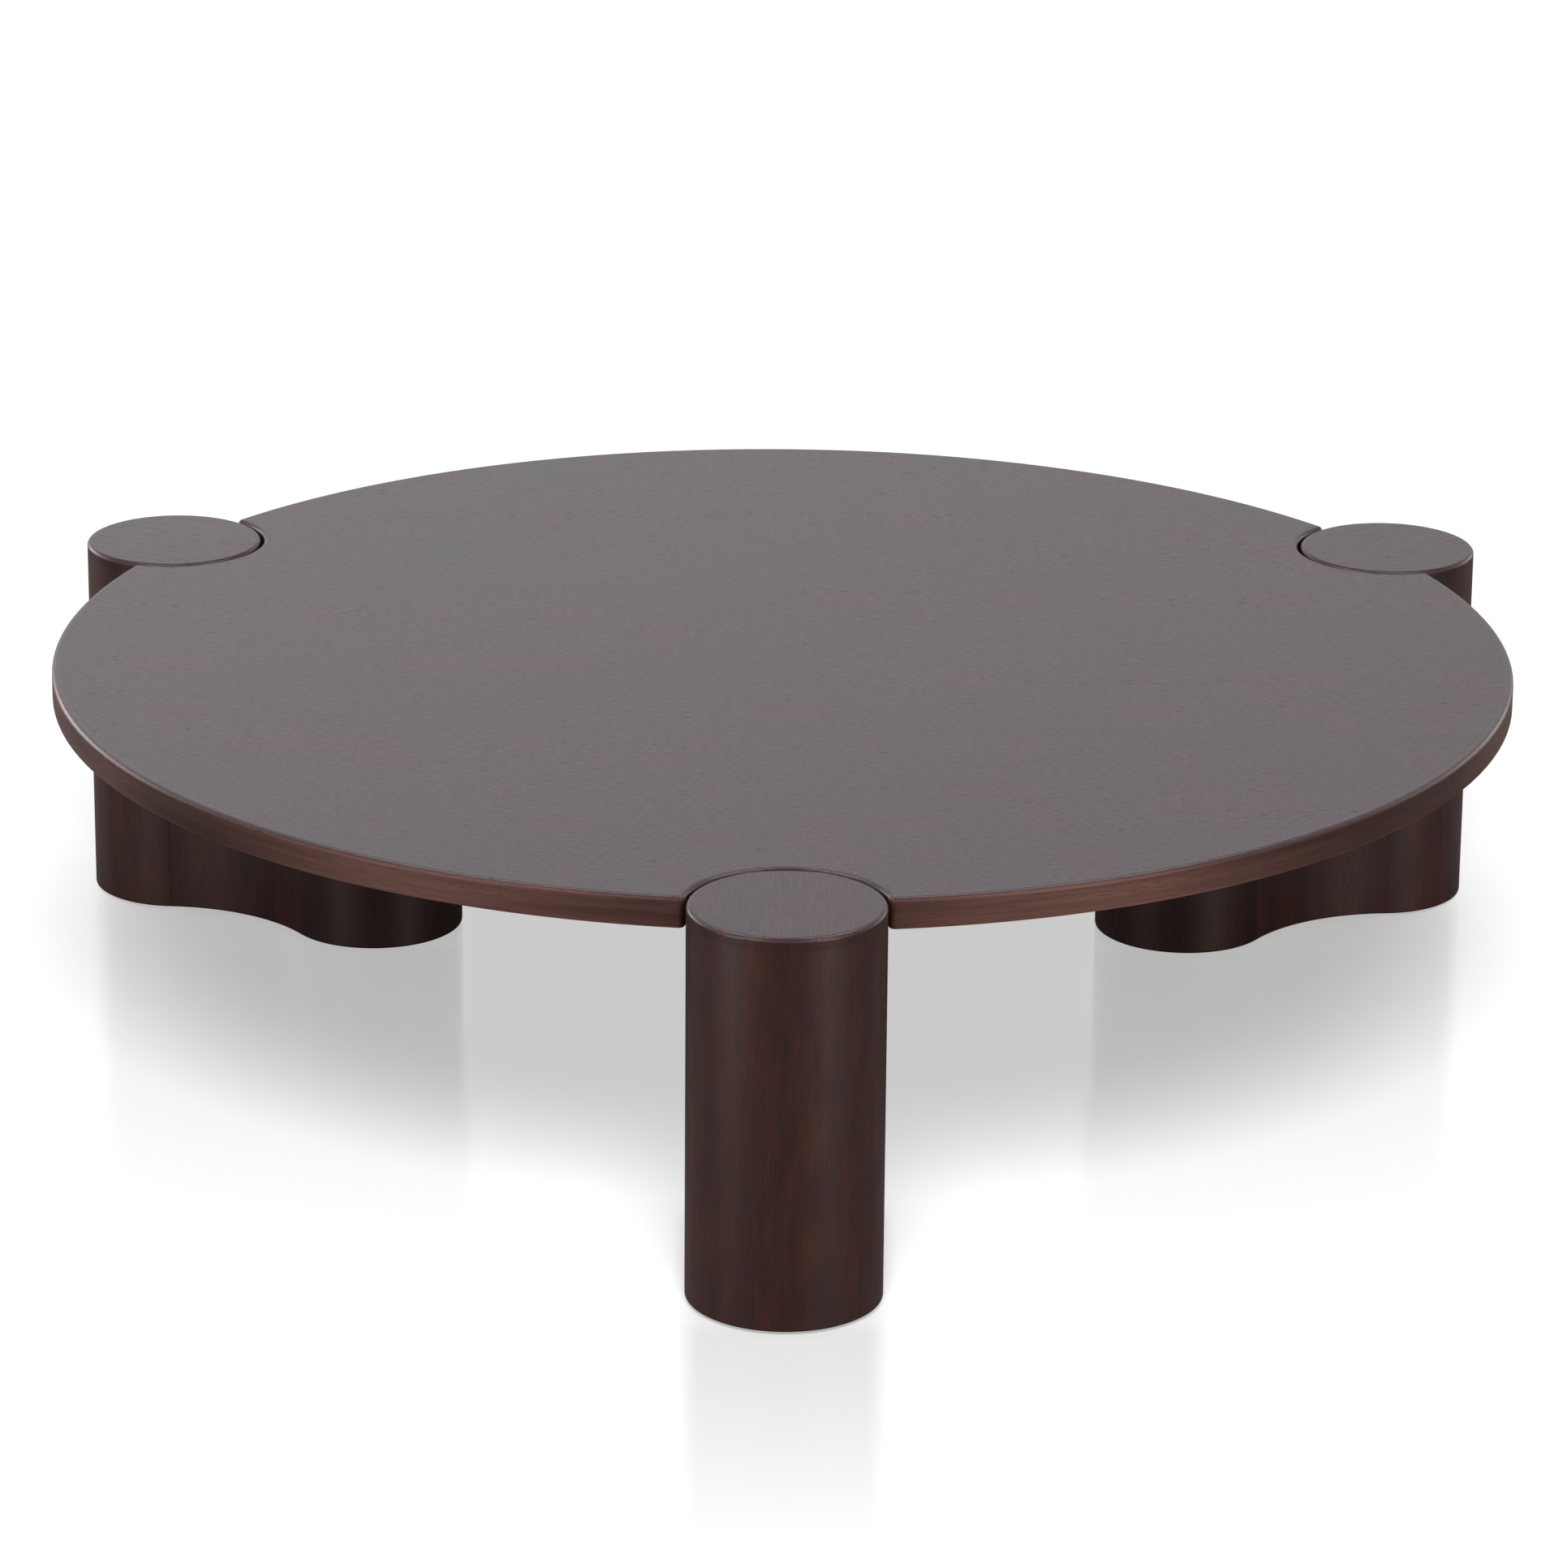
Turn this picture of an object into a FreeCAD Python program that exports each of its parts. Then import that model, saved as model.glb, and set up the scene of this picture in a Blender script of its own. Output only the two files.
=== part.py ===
import FreeCAD, Part

import math
import os

# A round low table. Three block legs, each shaped like a dog bone in plan, carry the top.
# The outer post of each leg rises through a round notch in the rim and ends flush with it.
# Lengths are millimetres and angles are degrees. Z is up, the floor is z = 0, and the
# vertical axis of the top passes through the origin.

# Whole table
table_height = 315.0
top_diameter = 1200.0
top_thickness = 25.0

# Table top: a board core, a veneer on each face and solid lippings round the edge
veneer_thickness = 0.6
rim_lipping_width = 8.0
notch_lipping_width = 6.0
notch_gap = 2.5
rim_top_round = 4.0
rim_bottom_round = 2.0
corner_extra_round = 1.0

# Leg in plan: an outer post, an inner lobe and a concave neck that runs into both
post_diameter = 150.0
post_overhang = 8.0
lobe_diameter = 150.0
lobe_spacing = 204.0
neck_radius = 150.0

# Leg pieces
panel_thickness = 10.0
panel_foot_round = 1.5
board_thickness = 18.0
cap_thickness = 10.0
cap_round = 3.5
batten_width = 24.0
batten_depth = 20.0

# Felt glides under the base boards
glide_diameter = 40.0
glide_thickness = 3.0
glide_margin = 11.0

# Bolts that draw each leg up to the top
bolt_diameter = 8.0
bolt_length = 30.0
bolt_head_diameter = 13.0
bolt_head_height = 8.0
bolt_key_sides = 6
bolt_key_width = 6.0
bolt_key_depth = 4.0
bolt_hole_clearance = 0.5
bolt_pair_spread = 56.0
neck_bolt_setback = 30.0
washer_diameter = 24.0
washer_thickness = 1.6
washer_clearance = 0.2
insert_diameter = 13.0
insert_length = 15.0
insert_hole_spare = 2.0
key_hole_diameter = 26.0

# Dowels that place each leg under the top
dowel_diameter = 10.0
dowel_length = 30.0
dowel_chamfer = 1.0
dowel_spread = 52.0
dowel_hole_spare = 1.0
dowel_place_share = 0.5

# How far a cutting shape runs past what it cuts
overrun = 5.0

# Two lengths count as the same when they differ by less than this share of the shape's size
sameness_share = 0.001

# Directions in plan, counter-clockwise from +X: the legs, and the rim arc opposite each leg
full_turn = 360.0
half_turn = full_turn / 2
leg_count = 3
leg_step = full_turn / leg_count
front_turn = -full_turn / 4
leg_turns = {"front": front_turn, "right": front_turn + leg_step, "left": front_turn + 2 * leg_step}
rim_turns = {
    "back": leg_turns["front"] + half_turn,
    "front_left": leg_turns["right"] + half_turn,
    "front_right": leg_turns["left"] - half_turn,
}

# Heights that the pieces share
top_underside = table_height - top_thickness
leg_underside = glide_thickness
base_top = leg_underside + board_thickness
deck_underside = top_underside - board_thickness
middle_underside = (base_top + deck_underside - board_thickness) / 2
cap_underside = table_height - cap_thickness

# Radii and places in plan, along the leg's own axis from the centre of the top
top_radius = top_diameter / 2
post_radius = post_diameter / 2
lobe_radius = lobe_diameter / 2
post_place = top_radius + post_overhang
lobe_place = post_place - lobe_spacing
notch_radius = post_radius + notch_gap
notch_pocket_radius = notch_radius + notch_lipping_width
core_radius = top_radius - rim_lipping_width
corner_round = rim_top_round + corner_extra_round

# The neck's arc touches the post's circle and the lobe's circle
post_reach = post_radius + neck_radius
lobe_reach = lobe_radius + neck_radius
neck_run = (post_reach ** 2 - lobe_reach ** 2 + lobe_spacing ** 2) / (2 * lobe_spacing)
neck_offset = math.sqrt(post_reach ** 2 - neck_run ** 2)
neck_place = post_place - neck_run
post_joint_turn = math.degrees(math.atan2(neck_offset, -neck_run))
lobe_joint_turn = math.degrees(math.atan2(neck_offset, lobe_spacing - neck_run))

# Where the fasteners and glides stand, in the leg's own axes
neck_bolt_place = post_place - notch_pocket_radius - neck_bolt_setback
dowel_place = lobe_place + dowel_place_share * (neck_bolt_place - lobe_place)
bolt_places = [
    (lobe_place, bolt_pair_spread / 2),
    (lobe_place, -bolt_pair_spread / 2),
    (neck_bolt_place, 0),
]
dowel_places = [(dowel_place, dowel_spread / 2), (dowel_place, -dowel_spread / 2)]
post_glide_reach = post_radius - panel_thickness - glide_margin - glide_diameter / 2
lobe_glide_reach = lobe_radius - panel_thickness - glide_margin - glide_diameter / 2
glide_places = [
    (post_place, post_glide_reach),
    (post_place, -post_glide_reach),
    (lobe_place - lobe_glide_reach, 0),
]

up = FreeCAD.Vector(0, 0, 1)
origin = FreeCAD.Vector(0, 0, 0)


def arc_edge(x, y, radius, start, end):
    circle = Part.Circle(FreeCAD.Vector(x, y, 0), up, radius)
    return Part.Arc(circle, math.radians(start), math.radians(end)).toShape()


def prism(edges, z, height):
    face = Part.Face(Part.Wire(edges))
    face.translate(FreeCAD.Vector(0, 0, z))
    return face.extrude(FreeCAD.Vector(0, 0, height))


def round_bar(x, y, diameter, z, height):
    return Part.makeCylinder(diameter / 2, height, FreeCAD.Vector(x, y, z), up)


def bars_at(places, diameter, z, height):
    return [round_bar(x, y, diameter, z, height) for x, y in places]


def turned(shape, turn):
    copy = shape.copy()
    copy.rotate(origin, up, turn)
    return copy


def for_every_leg(shapes):
    return [turned(shape, turn) for turn in leg_turns.values() for shape in shapes]


def flat_edges_at(shape, z):
    # The edges that lie wholly in the level plane at height z
    near = sameness_share * shape.BoundBox.ZLength
    return [
        edge
        for edge in shape.Edges
        if abs(edge.BoundBox.ZMin - z) < near and abs(edge.BoundBox.ZMax - z) < near
    ]


def arcs_of_radius(edges, radius):
    near = sameness_share * radius
    return [
        edge
        for edge in edges
        if isinstance(edge.Curve, Part.Circle) and abs(edge.Curve.Radius - radius) < near
    ]


def top_outline():
    # Rim arcs, notch arcs and the small corner arcs that join them, in order round the top
    corner_circle = top_radius - corner_round
    corner_reach = notch_radius + corner_round
    along = (corner_circle ** 2 + post_place ** 2 - corner_reach ** 2) / (2 * post_place)
    across = math.sqrt(corner_circle ** 2 - along ** 2)
    rim_turn = math.degrees(math.atan2(across, along))
    notch_turn = math.degrees(math.atan2(across, post_place - along))
    turns = sorted(leg_turns.values())
    edges = []
    for turn, next_turn in zip(turns, turns[1:] + [turns[0] + full_turn]):
        corner_in = arc_edge(along, -across, corner_round, -rim_turn, notch_turn)
        notch = arc_edge(post_place, 0, notch_radius, half_turn - notch_turn, half_turn + notch_turn)
        corner_out = arc_edge(along, across, corner_round, -notch_turn, rim_turn)
        rim = arc_edge(0, 0, top_radius, turn + rim_turn, next_turn - rim_turn)
        edges += [turned(corner_in, turn), turned(notch, turn), turned(corner_out, turn), rim]
    return edges


def top_blank():
    # The whole top as one block with its rounded edges, which is then divided into its pieces
    blank = prism(top_outline(), top_underside, top_thickness)
    blank = blank.makeFillet(rim_top_round, flat_edges_at(blank, table_height))
    return blank.makeFillet(rim_bottom_round, flat_edges_at(blank, top_underside))


def inside_the_rim():
    z = top_underside - overrun
    return round_bar(0, 0, 2 * core_radius, z, top_thickness + 2 * overrun)


def notch_pocket(turn):
    z = top_underside - overrun
    return turned(round_bar(post_place, 0, 2 * notch_pocket_radius, z, top_thickness + 2 * overrun), turn)


def rim_lipping(blank, turn):
    # The ring falls into one arc between each two notches; this is the one that faces turn
    arcs = blank.cut(inside_the_rim()).Solids
    facing = FreeCAD.Vector(math.cos(math.radians(turn)), math.sin(math.radians(turn)), 0)
    return max(arcs, key=lambda arc: arc.CenterOfMass.dot(facing))


def notch_lipping(blank, turn):
    return blank.common(inside_the_rim()).common(notch_pocket(turn))


def board_field(z, thickness):
    # The plain board inside all lippings, between two heights
    field = round_bar(0, 0, 2 * core_radius, z, thickness)
    return field.cut([notch_pocket(turn) for turn in leg_turns.values()])


def insert_holes():
    depth = insert_length + insert_hole_spare + overrun
    return for_every_leg(bars_at(bolt_places, insert_diameter, top_underside - overrun, depth))


def top_dowel_holes():
    depth = dowel_length / 2 + dowel_hole_spare + overrun
    return for_every_leg(bars_at(dowel_places, dowel_diameter, top_underside - overrun, depth))


def top_core():
    core = board_field(top_underside + veneer_thickness, top_thickness - 2 * veneer_thickness)
    return core.cut(insert_holes() + top_dowel_holes())


def top_face_veneer():
    return board_field(table_height - veneer_thickness, veneer_thickness)


def top_back_veneer():
    return board_field(top_underside, veneer_thickness).cut(insert_holes() + top_dowel_holes())


def leg_outline(inset):
    # The dog bone, drawn in by inset: the lobes shrink and the hollow of the neck widens
    neck_start = post_joint_turn - half_turn
    neck_end = lobe_joint_turn - half_turn
    radius = neck_radius + inset
    return [
        arc_edge(post_place, 0, post_radius - inset, -post_joint_turn, post_joint_turn),
        arc_edge(neck_place, neck_offset, radius, neck_end, neck_start),
        arc_edge(lobe_place, 0, lobe_radius - inset, lobe_joint_turn, full_turn - lobe_joint_turn),
        arc_edge(neck_place, -neck_offset, radius, -neck_start, -neck_end),
    ]


def leg_board(z):
    return prism(leg_outline(panel_thickness), z, board_thickness)


def bent_strip(x, y, shown_radius, hidden_radius, start, end, z, height):
    # A strip bent to an arc in plan, with both of its upright ends square to the arc
    shown = arc_edge(x, y, shown_radius, start, end)
    hidden = arc_edge(x, y, hidden_radius, start, end)
    first_end = Part.LineSegment(shown.Vertexes[0].Point, hidden.Vertexes[0].Point).toShape()
    last_end = Part.LineSegment(shown.Vertexes[1].Point, hidden.Vertexes[1].Point).toShape()
    return prism([shown, last_end, hidden, first_end], z, height)


def bent_panel(x, y, shown_radius, hidden_radius, start, end, height):
    # A bent strip that stands on the leg's underside, with its shown foot edge rounded
    panel = bent_strip(x, y, shown_radius, hidden_radius, start, end, leg_underside, height)
    foot = arcs_of_radius(flat_edges_at(panel, leg_underside), shown_radius)
    return panel.makeFillet(panel_foot_round, foot)


def post_panel():
    # The outside of the post, in one piece from the foot to the cap
    return bent_panel(
        post_place, 0, post_radius, post_radius - panel_thickness,
        -post_joint_turn, post_joint_turn, cap_underside - leg_underside,
    )


def lobe_panel():
    return bent_panel(
        lobe_place, 0, lobe_radius, lobe_radius - panel_thickness,
        lobe_joint_turn, full_turn - lobe_joint_turn, top_underside - leg_underside,
    )


def neck_cheek(side):
    # side is 1 for the cheek to the left of the leg's axis, seen from the table's centre
    turns = sorted([side * (post_joint_turn - half_turn), side * (lobe_joint_turn - half_turn)])
    return bent_panel(
        neck_place, side * neck_offset, neck_radius, neck_radius + panel_thickness,
        turns[0], turns[1], top_underside - leg_underside,
    )


def post_collar():
    # Closes the post on the notch side, between the deck and the cap
    return bent_strip(
        post_place, 0, post_radius, post_radius - panel_thickness,
        post_joint_turn, full_turn - post_joint_turn, top_underside, cap_underside - top_underside,
    )


def post_head():
    diameter = post_diameter - 2 * panel_thickness
    return round_bar(post_place, 0, diameter, top_underside, cap_underside - top_underside)


def post_cap():
    cap = round_bar(post_place, 0, post_diameter, cap_underside, cap_thickness)
    return cap.makeFillet(cap_round, flat_edges_at(cap, table_height))


def key_holes(z):
    return bars_at(bolt_places, key_hole_diameter, z - overrun, board_thickness + 2 * overrun)


def base_board():
    return leg_board(leg_underside).cut(key_holes(leg_underside))


def middle_board():
    return leg_board(middle_underside).cut(key_holes(middle_underside))


def deck_board():
    bolt_hole_diameter = bolt_diameter + 2 * bolt_hole_clearance
    height = board_thickness + 2 * overrun
    bolt_holes = bars_at(bolt_places, bolt_hole_diameter, deck_underside - overrun, height)
    dowel_depth = dowel_length / 2 + dowel_hole_spare
    dowel_holes = bars_at(dowel_places, dowel_diameter, top_underside - dowel_depth, dowel_depth + overrun)
    return leg_board(deck_underside).cut(bolt_holes + dowel_holes)


def joint_battens():
    # Glue battens behind the four upright joints of the panels, above and below the middle board
    inside = prism(leg_outline(panel_thickness), base_top, deck_underside - base_top)
    lifts = [(base_top, middle_underside), (middle_underside + board_thickness, deck_underside)]
    joints = []
    for side in (1, -1):
        joints.append((post_place, post_radius, side * post_joint_turn))
        joints.append((lobe_place, lobe_radius, side * lobe_joint_turn))
    battens = []
    for place, radius, turn in joints:
        for low, high in lifts:
            start = radius - panel_thickness - batten_depth
            corner = FreeCAD.Vector(start, -batten_width / 2, low)
            batten = Part.makeBox(radius - start, batten_width, high - low, corner)
            batten.rotate(origin, up, turn)
            batten.translate(FreeCAD.Vector(place, 0, 0))
            battens.append(batten.common(inside))
    return battens


def bolt(x, y):
    seat = deck_underside - washer_thickness
    shank = round_bar(x, y, bolt_diameter, seat, bolt_length)
    head = round_bar(x, y, bolt_head_diameter, seat - bolt_head_height, bolt_head_height)
    corner_radius = bolt_key_width / 2 / math.cos(math.pi / bolt_key_sides)
    low = seat - bolt_head_height - overrun
    corners = []
    for number in range(bolt_key_sides + 1):
        turn = math.radians(number * full_turn / bolt_key_sides)
        corners.append(FreeCAD.Vector(corner_radius * math.cos(turn), corner_radius * math.sin(turn), low))
    socket = Part.Face(Part.makePolygon(corners)).extrude(FreeCAD.Vector(0, 0, bolt_key_depth + overrun))
    socket.translate(FreeCAD.Vector(x, y, 0))
    return head.fuse(shank).removeSplitter().cut(socket)


def washer(x, y):
    low = deck_underside - washer_thickness
    disc = round_bar(x, y, washer_diameter, low, washer_thickness)
    hole_diameter = bolt_diameter + 2 * washer_clearance
    return disc.cut(round_bar(x, y, hole_diameter, low - overrun, washer_thickness + 2 * overrun))


def threaded_insert(x, y):
    sleeve = round_bar(x, y, insert_diameter, top_underside, insert_length)
    return sleeve.cut(round_bar(x, y, bolt_diameter, top_underside - overrun, insert_length + 2 * overrun))


def dowel(x, y):
    pin = round_bar(x, y, dowel_diameter, top_underside - dowel_length / 2, dowel_length)
    ends = flat_edges_at(pin, top_underside - dowel_length / 2)
    ends += flat_edges_at(pin, top_underside + dowel_length / 2)
    return pin.makeChamfer(dowel_chamfer, ends)


def glide(x, y):
    return round_bar(x, y, glide_diameter, 0, glide_thickness)


def top_nodes():
    blank = top_blank()
    nodes = {
        "top_core": top_core(),
        "top_face_veneer": top_face_veneer(),
        "top_back_veneer": top_back_veneer(),
    }
    for name, turn in rim_turns.items():
        nodes["rim_lipping_" + name] = rim_lipping(blank, turn)
    for name, turn in leg_turns.items():
        nodes["notch_lipping_" + name] = notch_lipping(blank, turn)
    return nodes


def leg_nodes():
    pieces = {
        "post_panel": post_panel(),
        "lobe_panel": lobe_panel(),
        "left_neck_cheek": neck_cheek(1),
        "right_neck_cheek": neck_cheek(-1),
        "post_collar": post_collar(),
        "post_head": post_head(),
        "post_cap": post_cap(),
        "base_board": base_board(),
        "middle_board": middle_board(),
        "deck_board": deck_board(),
        "joint_battens": Part.makeCompound(joint_battens()),
    }
    nodes = {}
    for name, turn in leg_turns.items():
        for piece, shape in pieces.items():
            nodes[name + "_leg_" + piece] = turned(shape, turn)
    return nodes


def fastener_nodes():
    return {
        "leg_bolts": Part.makeCompound(for_every_leg([bolt(x, y) for x, y in bolt_places])),
        "bolt_washers": Part.makeCompound(for_every_leg([washer(x, y) for x, y in bolt_places])),
        "threaded_inserts": Part.makeCompound(for_every_leg([threaded_insert(x, y) for x, y in bolt_places])),
        "locating_dowels": Part.makeCompound(for_every_leg([dowel(x, y) for x, y in dowel_places])),
        "felt_glides": Part.makeCompound(for_every_leg([glide(x, y) for x, y in glide_places])),
    }


def main():
    os.makedirs("parts", exist_ok=True)
    nodes = {**top_nodes(), **leg_nodes(), **fastener_nodes()}
    for name, shape in nodes.items():
        shape.exportStep("parts/" + name + ".step")
    whole = Part.makeCompound(list(nodes.values())).BoundBox
    print(len(nodes), "nodes written, up to", round(whole.ZMax, 1), "high")


main()
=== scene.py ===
import math

import bpy
from mathutils import Matrix, Vector


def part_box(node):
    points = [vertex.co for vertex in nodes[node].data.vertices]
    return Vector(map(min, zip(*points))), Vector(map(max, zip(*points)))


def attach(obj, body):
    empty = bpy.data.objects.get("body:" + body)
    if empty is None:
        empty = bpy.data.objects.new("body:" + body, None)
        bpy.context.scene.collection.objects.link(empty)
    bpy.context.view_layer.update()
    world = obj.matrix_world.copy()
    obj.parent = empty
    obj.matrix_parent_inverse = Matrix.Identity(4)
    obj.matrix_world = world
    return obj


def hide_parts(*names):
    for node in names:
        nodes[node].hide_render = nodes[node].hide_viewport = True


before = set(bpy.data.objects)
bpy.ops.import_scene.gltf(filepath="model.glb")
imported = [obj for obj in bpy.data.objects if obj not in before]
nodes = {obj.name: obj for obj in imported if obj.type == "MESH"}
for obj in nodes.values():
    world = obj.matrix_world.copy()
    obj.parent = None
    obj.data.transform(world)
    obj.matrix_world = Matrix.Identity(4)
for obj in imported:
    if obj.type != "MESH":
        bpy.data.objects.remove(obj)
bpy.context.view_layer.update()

# A round low table in dark stained wood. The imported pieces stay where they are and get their
# finish here. The bent panels of the legs are made again, with eased upright joints and a
# grain that runs up the leg. Metres and radians, Z up, and the front leg points to -Y.

legTurns = {"front": math.radians(-90), "right": math.radians(30), "left": math.radians(150)}


def put(tree, kind, feeds=None, **settings):
    # one node with its settings; feeds gives each input a socket or a plain value
    node = tree.nodes.new(kind)
    for name, value in settings.items():
        setattr(node, name, value)
    for key, value in (feeds or {}).items():
        if isinstance(value, bpy.types.NodeSocket):
            tree.links.new(value, node.inputs[key])
        else:
            node.inputs[key].default_value = value
    return node


def calc(tree, operation, first, second=0.0):
    return put(tree, "ShaderNodeMath", {0: first, 1: second}, operation=operation).outputs[0]


def ranged(tree, value, start, end, low=0.0, high=1.0):
    # a straight ramp from low at start to high at end
    return put(tree, "ShaderNodeMapRange", {
        "Value": value, "From Min": start, "From Max": end, "To Min": low, "To Max": high}).outputs[0]


def eased(tree, value, start, end, low=0.0, high=1.0):
    # the same ramp with soft ends
    return put(tree, "ShaderNodeMapRange", {
        "Value": value, "From Min": start, "From Max": end, "To Min": low, "To Max": high},
        interpolation_type="SMOOTHSTEP").outputs[0]


def mixedValue(tree, share, first, second):
    return put(tree, "ShaderNodeMix", {0: share, 2: first, 3: second}).outputs[0]


def mixedColour(tree, share, first, second):
    return put(tree, "ShaderNodeMix", {0: share, 6: first, 7: second}, data_type="RGBA").outputs[2]


def scaled(tree, colour, factor):
    return put(tree, "ShaderNodeVectorMath", {0: colour, "Scale": factor}, operation="SCALE").outputs[0]


def split(tree, vector):
    return put(tree, "ShaderNodeSeparateXYZ", {0: vector}).outputs


def joined(tree, x=0.0, y=0.0, z=0.0):
    return put(tree, "ShaderNodeCombineXYZ", {0: x, 1: y, 2: z}).outputs[0]


def moved(tree, vector, offset):
    return put(tree, "ShaderNodeVectorMath", {0: vector, 1: offset}, operation="ADD").outputs[0]


def objectPlace(tree):
    return put(tree, "ShaderNodeTexCoord").outputs["Object"]


def newGroup(name, kind, inputs, outputs):
    # a node group with named sockets: inputs give a type and a starting value each
    tree = bpy.data.node_groups.new(name, kind)
    for label, (socketType, value) in inputs.items():
        socket = tree.interface.new_socket(name=label, in_out="INPUT", socket_type=socketType)
        if value is not None:
            socket.default_value = value
    for label, socketType in outputs.items():
        tree.interface.new_socket(name=label, in_out="OUTPUT", socket_type=socketType)
    return tree, tree.nodes.new("NodeGroupInput").outputs, tree.nodes.new("NodeGroupOutput").inputs


# Sizes of the table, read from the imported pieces; only the neck's hollow has its own value here
capLow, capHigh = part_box("front_leg_post_cap")
lobeLow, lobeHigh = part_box("front_leg_lobe_panel")
topLow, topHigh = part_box("rim_lipping_back")
table = {
    "postRadius": (capHigh.x - capLow.x) / 2,
    "postPlace": -(capHigh.y + capLow.y) / 2,
    "lobeRadius": (lobeHigh.x - lobeLow.x) / 2,
    "lobePlace": (lobeHigh.x - lobeLow.x) / 2 - lobeHigh.y,
    "topRadius": topHigh.y,
    "topFace": capHigh.z,
    "topUnderside": topLow.z,
    "capUnderside": capLow.z,
    "legUnderside": lobeLow.z,
    "neckRadius": 0.150,
}


# The photograph's camera
photoView = {
    "longSide": 1932,          # pixels
    "focalPixels": 8223.3,
    "sensor": 36.0,            # millimetres, as the camera's own socket takes it
    "place": (-0.0415, -5.2406, 2.0091),
    "yaw": 0.0082,
    "pitch": 0.3326,
    "roll": 0.0087,
    "farClip": 100.0,
}


def makeCamera(view):
    data = bpy.data.cameras.new("photoCamera")
    data.sensor_width = view["sensor"]
    data.lens = view["focalPixels"] / view["longSide"] * view["sensor"]
    data.clip_end = view["farClip"]
    camera = bpy.data.objects.new("photoCamera", data)
    bpy.context.scene.collection.objects.link(camera)
    aim = Matrix.Rotation(-view["yaw"], 4, "Z") @ Matrix.Rotation(math.pi / 2 - view["pitch"], 4, "X")
    camera.matrix_world = Matrix.Translation(view["place"]) @ aim @ Matrix.Rotation(view["roll"], 4, "Z")
    bpy.context.scene.camera = camera


makeCamera(photoView)
print("camera set")


# Soft studio: a pale room, softboxes overhead and standing, and a white floor that keeps the shadow
studio = {
    "roomStrength": 0.30,      # what the room gives to the surfaces
    "roomShown": 1.0,          # what the camera and the gloss see of it
    "ceilingShown": 0.30,      # what the gloss sees overhead
    "wallTop": 0.60,           # sine of the height where the walls end
    "ceilingStart": 0.88,
    "leanReach": 0.15,         # the gloss finds the room a little brighter on the left
    "leanLeft": 1.05,
    "leanRight": 0.82,
    "boxes": {                 # what lights the table
        "overheadLeft": {"place": (-0.8, 0.0, 2.2), "aim": (-0.3, 0.0, 0.3), "size": (1.4, 1.3),
                         "power": 24.0},
        "overheadRight": {"place": (0.8, 0.0, 2.2), "aim": (0.3, 0.0, 0.3), "size": (1.4, 1.3),
                          "power": 24.0},
        "upperLeft": {"place": (-1.7, -2.4, 2.2), "aim": (0.0, -0.1, 0.2), "size": (1.0, 1.0),
                      "power": 29.0},
        "upperRight": {"place": (1.7, -2.4, 2.2), "aim": (0.0, -0.1, 0.2), "size": (1.0, 1.0),
                       "power": 29.0},
        "lowLeft": {"place": (-1.9, -1.65, 0.28), "aim": (0.0, -0.5, 0.2), "size": (0.45, 0.5),
                    "power": 18.0},
        "lowRight": {"place": (3.0, -3.3, 0.34), "aim": (0.0, -0.5, 0.2), "size": (0.85, 0.6),
                     "power": 62.0},
        "backLeft": {"place": (-2.8, 1.8, 0.75), "aim": (0.0, 0.0, 0.2), "size": (2.2, 1.4),
                     "power": 36.0},
        "backRight": {"place": (2.8, 1.8, 0.75), "aim": (0.0, 0.0, 0.2), "size": (2.2, 1.4),
                      "power": 16.0},
    },
    "shadowLight": {           # what only the floor takes, for one clean shadow
        "elevation": math.radians(47), "spread": math.radians(26), "strength": 6.6,
    },
    "floorSize": 60.0,
    "floorShown": 0.28,        # the floor's own white for the camera
    "floorOther": 0.10,        # and for the light that it throws back
    "lift": 0.575,             # added for the camera alone, so that the lit floor is white
    "sheen": {"front": 0.27, "right": 0.20, "left": 0.20},    # share of the floor's look before a leg
    "sheenReach": {"front": 0.55, "right": 0.85, "left": 0.85},    # where it has faded away
    "sheenEdge": 0.025,        # how softly it ends at the foot's sides
    "sheenMeet": (-0.04, -5.24),    # the place far in front that the strips' sides run towards
    "sheenRoughness": 0.12,
    "sheenGrazing": (0.15, 0.60),    # how aslant the floor is seen, from no sheen to all of it
}


def makeRoom(look):
    # white all round; only the gloss finds a dimmer ceiling, and its walls lighter on the left
    world = bpy.data.worlds.new("paleRoom")
    bpy.context.scene.world = world
    world.use_nodes = True
    tree = world.node_tree
    tree.nodes.clear()
    path = put(tree, "ShaderNodeLightPath").outputs
    way = split(tree, put(tree, "ShaderNodeTexCoord").outputs["Generated"])
    walls = eased(tree, way[2], look["wallTop"], look["ceilingStart"],
                  look["roomShown"], look["ceilingShown"])
    lean = ranged(tree, way[0], -look["leanReach"], look["leanReach"],
                  look["leanLeft"], look["leanRight"])
    mirrored = calc(tree, "MULTIPLY", walls, lean)
    shiny = calc(tree, "MAXIMUM", path["Is Glossy Ray"], path["Is Transmission Ray"])
    given = mixedValue(tree, shiny, look["roomStrength"], mirrored)
    strength = mixedValue(tree, path["Is Camera Ray"], given, look["roomShown"])
    sky = put(tree, "ShaderNodeBackground", {"Color": (1, 1, 1, 1), "Strength": strength})
    put(tree, "ShaderNodeOutputWorld", {"Surface": sky.outputs[0]})


def lightOnly(lamp, floor, state):
    # the table and the floor are lit apart, as the table's own lamps would blur the shadow
    linked = bpy.data.collections.new(lamp.name + "Lights")
    linked.objects.link(floor)
    linked.collection_objects[0].light_linking.link_state = state
    lamp.light_linking.receiver_collection = linked


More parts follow.
